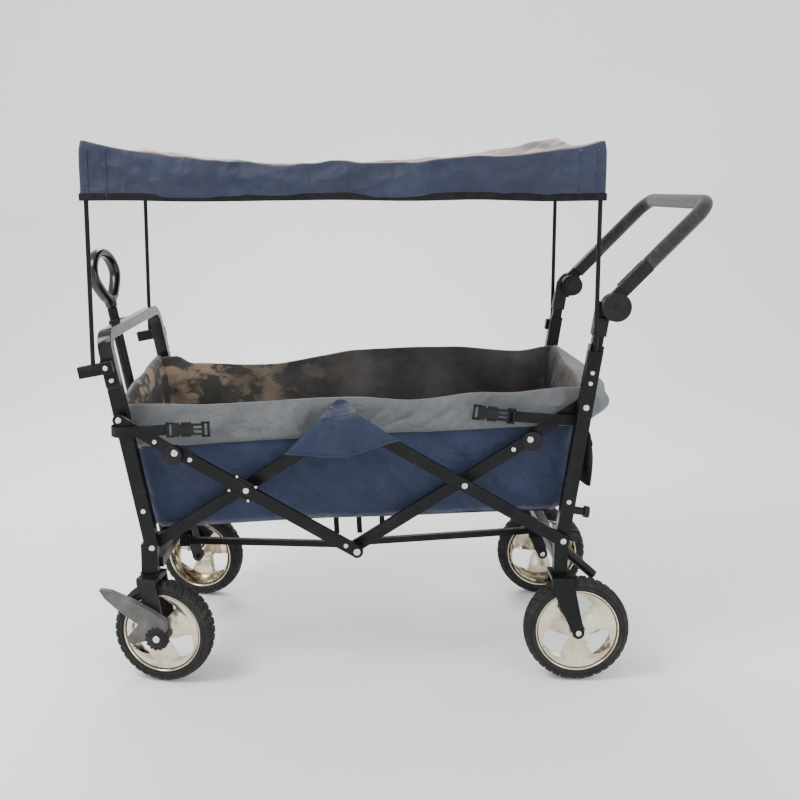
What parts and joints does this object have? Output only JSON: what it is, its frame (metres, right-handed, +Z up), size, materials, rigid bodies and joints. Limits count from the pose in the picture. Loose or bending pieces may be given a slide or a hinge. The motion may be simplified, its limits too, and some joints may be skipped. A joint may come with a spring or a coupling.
{
  "type": "folding camp wagon",
  "caption": "Folding camp wagon with a scissor-link frame, fabric basket, fabric canopy on poles, swivel front casters, a pull handle and a tilting push handle.",
  "frame": {"origin": "on the ground under the middle of the whole wagon", "axes": "+X towards the push handle, +Y across the wagon to its far side, +Z up"},
  "size_m": [1.3016, 0.5483, 1.11],
  "materials": {
    "black_frame": "satin black powder coat",
    "rivet_steel": "zinc plated domed rivets",
    "black_plastic": "fine moulded texture",
    "grip_gloss": "polished",
    "grip_foam": "pebbled foam sleeve",
    "navy_fabric": "coated polyester plain weave",
    "grey_fabric": "coated polyester plain weave",
    "webbing": "ribbed webbing",
    "pedal_grey": "ribbed moulded plastic",
    "rim_chrome": "warm bright plating",
    "tyre_rubber": "moulded tread",
    "board": "stiff floor board"
  },
  "bodies": {
    "front_frame": {"front_legs": "black_frame", "front_hoop": "black_frame", "front_crossbar": "black_frame", "front_clamps": "black_frame", "handle_clip": "black_plastic", "front_rivets": "rivet_steel", "basket_front_panel": "grey_fabric", "canopy_poles_front": "black_frame", "canopy_cloth": "navy_fabric", "basket_sides": "navy_fabric", "collar_sides": "grey_fabric", "side_flaps": "navy_fabric", "straps": "webbing", "buckles": "black_plastic", "floor_straps": "webbing"},
    "bars_b": {"bar_b": "black_frame", "bar_b_pins": "rivet_steel"},
    "bars_a": {"bar_a": "black_frame", "bar_a_pins": "rivet_steel"},
    "bars_d": {"bar_d": "black_frame", "bar_d_pins": "rivet_steel"},
    "bars_c": {"bar_c": "black_frame"},
    "rear_frame": {"rear_legs": "black_frame", "rear_crossbar": "black_frame", "rear_clamps": "black_frame", "rear_stand": "black_plastic", "rear_rivets": "rivet_steel", "rear_forks": "black_frame", "rear_axles": "rivet_steel", "basket_rear_panel": "grey_fabric", "rear_pouch": "webbing", "canopy_poles_rear": "black_frame"},
    "front_links": {"front_links": "black_frame"},
    "rear_links": {"rear_links": "black_frame"},
    "front_strut": {"floor_strut_front": "black_frame"},
    "rear_strut": {"floor_strut_rear": "black_frame"},
    "front_board": {"floor_board_front": "board"},
    "rear_board": {"floor_board_rear": "board"},
    "pull_handle": {"pull_tube_outer": "black_frame"},
    "pull_slider": {"pull_tube_inner": "black_frame", "pull_grip": "grip_gloss"},
    "handle_riser": {"handle_risers": "black_frame", "riser_hubs": "black_plastic"},
    "push_handle": {"push_tube": "black_frame", "push_hubs": "black_plastic", "push_grip": "grip_foam"},
    "tilt_button_near": {"tilt_button_near": "black_plastic"},
    "tilt_button_far": {"tilt_button_far": "black_plastic"},
    "caster_near": {"caster_fork_near": "black_plastic"},
    "brake_pedal_near": {"brake_pedal_near": "pedal_grey"},
    "front_wheel_near": {"front_rims_near": "rim_chrome", "front_tyre_near": "tyre_rubber"},
    "rear_wheel_near": {"rear_rims_near": "rim_chrome", "rear_tyre_near": "tyre_rubber"},
    "caster_far": {"caster_fork_far": "black_plastic"},
    "brake_pedal_far": {"brake_pedal_far": "pedal_grey"},
    "front_wheel_far": {"front_rims_far": "rim_chrome", "front_tyre_far": "tyre_rubber"},
    "rear_wheel_far": {"rear_rims_far": "rim_chrome", "rear_tyre_far": "tyre_rubber"}
  },
  "joints": [
    {"name": "fold", "type": "hinge", "parent": "front_frame", "child": "bars_b", "pos_m": [-0.48319, 0, 0.2864], "axis": [0, -1, 0], "range_deg": [0, 46.2], "deforming": ["canopy_cloth", "basket_sides", "collar_sides", "side_flaps", "straps", "buckles", "floor_straps"]},
    {"name": "bar_a_crossing", "type": "hinge", "parent": "bars_b", "child": "bars_a", "pos_m": [-0.28521, 0, 0.41301], "axis": [0, -1, 0], "range_deg": [-93.4, 0]},
    {"name": "bar_d_top", "type": "hinge", "parent": "bars_b", "child": "bars_d", "pos_m": [-0.06613, 0, 0.55312], "axis": [0, -1, 0], "range_deg": [-93.4, 0]},
    {"name": "bar_c_crossing", "type": "hinge", "parent": "bars_d", "child": "bars_c", "pos_m": [0.15908, 0, 0.42309], "axis": [0, -1, 0], "range_deg": [0, 93.4]},
    {"name": "rear_frame_pivot", "type": "hinge", "parent": "bars_d", "child": "rear_frame", "pos_m": [0.3626, 0, 0.30559], "axis": [0, -1, 0], "range_deg": [0, 46.7]},
    {"name": "front_link_pivot", "type": "hinge", "parent": "front_frame", "child": "front_links", "pos_m": [-0.53661, 0, 0.56126], "axis": [0, -1, 0], "range_deg": [0, 94.21]},
    {"name": "rear_link_pivot", "type": "hinge", "parent": "rear_frame", "child": "rear_links", "pos_m": [0.4035, 0, 0.58259], "axis": [0, -1, 0], "range_deg": [-94.21, 0]},
    {"name": "front_strut_pivot", "type": "hinge", "parent": "front_frame", "child": "front_strut", "pos_m": [-0.4567, 0, 0.22098], "axis": [0, -1, 0], "range_deg": [0, 81.71]},
    {"name": "rear_strut_pivot", "type": "hinge", "parent": "rear_frame", "child": "rear_strut", "pos_m": [0.3391, 0, 0.23904], "axis": [0, -1, 0], "range_deg": [-81.71, 0]},
    {"name": "front_board_hinge", "type": "hinge", "parent": "front_frame", "child": "front_board", "pos_m": [-0.45926, 0, 0.33396], "axis": [0, -1, 0], "range_deg": [0, 98.07]},
    {"name": "rear_board_hinge", "type": "hinge", "parent": "rear_frame", "child": "rear_board", "pos_m": [0.33654, 0, 0.35201], "axis": [0, -1, 0], "range_deg": [-98.07, 0]},
    {"name": "pull_handle_swing", "type": "hinge", "parent": "front_frame", "child": "pull_handle", "pos_m": [-0.50778, 0, 0.23476], "axis": [0, -1, 0], "range_deg": [0, 80]},
    {"name": "pull_handle_extend", "type": "slide", "parent": "pull_handle", "child": "pull_slider", "axis": [-0.1908, 0, 0.9816], "range_m": [0, 0.28]},
    {"name": "push_handle_height", "type": "slide", "parent": "rear_frame", "child": "handle_riser", "axis": [0.1461, 0, 0.9893], "range_m": [0, 0.1]},
    {"name": "push_handle_tilt", "type": "hinge", "parent": "handle_riser", "child": "push_handle", "pos_m": [0.456, 0, 0.788], "axis": [0, -1, 0], "range_deg": [-100, 35]},
    {"name": "tilt_button_near_press", "type": "slide", "parent": "handle_riser", "child": "tilt_button_near", "axis": [0, -1, 0], "range_m": [0, 0.005], "stiffness_N_per_m": 500},
    {"name": "tilt_button_far_press", "type": "slide", "parent": "handle_riser", "child": "tilt_button_far", "axis": [0, 1, 0], "range_m": [0, 0.005], "stiffness_N_per_m": 500},
    {"name": "caster_swivel_near", "type": "hinge", "parent": "front_frame", "child": "caster_near", "pos_m": [-0.489, -0.214, 0.238], "axis": [0, 0, 1], "continuous": true},
    {"name": "brake_pedal_near_press", "type": "hinge", "parent": "caster_near", "child": "brake_pedal_near", "pos_m": [-0.46241, -0.21869, 0.107], "axis": [-0.1736, -0.9848, 0], "range_deg": [0, 16]},
    {"name": "front_wheel_near_spin", "type": "hinge", "parent": "caster_near", "child": "front_wheel_near", "pos_m": [-0.46241, -0.21869, 0.107], "axis": [0.1736, 0.9848, 0], "continuous": true},
    {"name": "caster_swivel_far", "type": "hinge", "parent": "front_frame", "child": "caster_far", "pos_m": [-0.489, 0.214, 0.238], "axis": [0, 0, 1], "continuous": true},
    {"name": "brake_pedal_far_press", "type": "hinge", "parent": "caster_far", "child": "brake_pedal_far", "pos_m": [-0.4628, 0.20747, 0.107], "axis": [-0.2419, -0.9703, 0], "range_deg": [0, 16]},
    {"name": "front_wheel_far_spin", "type": "hinge", "parent": "caster_far", "child": "front_wheel_far", "pos_m": [-0.4628, 0.20747, 0.107], "axis": [0.2419, 0.9703, 0], "continuous": true},
    {"name": "rear_wheel_near_spin", "type": "hinge", "parent": "rear_frame", "child": "rear_wheel_near", "pos_m": [0.398, -0.214, 0.11], "axis": [0, 1, 0], "continuous": true},
    {"name": "rear_wheel_far_spin", "type": "hinge", "parent": "rear_frame", "child": "rear_wheel_far", "pos_m": [0.398, 0.214, 0.11], "axis": [0, 1, 0], "continuous": true}
  ],
  "couplings": [
    {"joint": "bar_a_crossing", "follows": "fold", "ratio": -2},
    {"joint": "bar_d_top", "follows": "fold", "ratio": -2},
    {"joint": "bar_c_crossing", "follows": "fold", "ratio": 2},
    {"joint": "rear_frame_pivot", "follows": "fold", "ratio": 1},
    {"joint": "front_link_pivot", "follows": "fold", "ratio": 2.0173},
    {"joint": "rear_link_pivot", "follows": "fold", "ratio": -2.0173},
    {"joint": "front_strut_pivot", "follows": "fold", "ratio": 1.7497},
    {"joint": "rear_strut_pivot", "follows": "fold", "ratio": -1.7497},
    {"joint": "front_board_hinge", "follows": "fold", "ratio": 2.1},
    {"joint": "rear_board_hinge", "follows": "fold", "ratio": -2.1}
  ]
}
